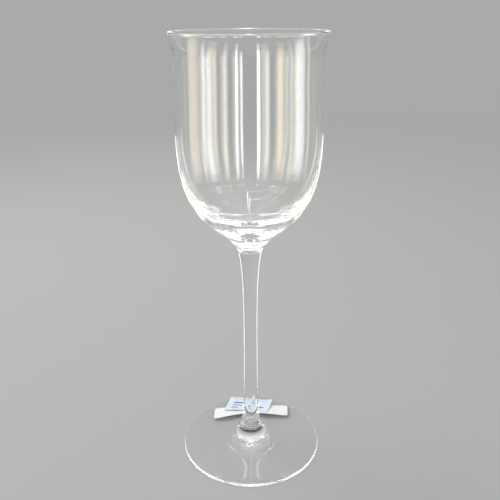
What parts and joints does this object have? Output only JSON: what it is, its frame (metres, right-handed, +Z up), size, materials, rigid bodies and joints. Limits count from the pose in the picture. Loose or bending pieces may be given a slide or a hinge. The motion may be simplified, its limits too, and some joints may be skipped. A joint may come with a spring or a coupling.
{
  "type": "wine glass",
  "caption": "Clear stemmed wine glass with a bell-shaped bowl, flared beaded lip, slender drawn stem and low conical foot carrying blank paper stickers.",
  "frame": {"origin": "middle of the underside of the foot, on the surface that the glass stands on", "axes": "+Z up along the glass's axis, +Y to the back, where the stickers are, +X to the right seen from the front"},
  "size_m": [0.072, 0.072, 0.21],
  "materials": {
    "clear_glass": "fire-polished, clear and colourless",
    "white_paper": "matt white paper",
    "blue_paper": "pale blue printed paper, satin"
  },
  "bodies": {
    "root": {"bowl": "clear_glass", "stem": "clear_glass", "foot": "clear_glass", "white_sticker": "white_paper", "blue_sticker": "blue_paper"}
  },
  "joints": []
}
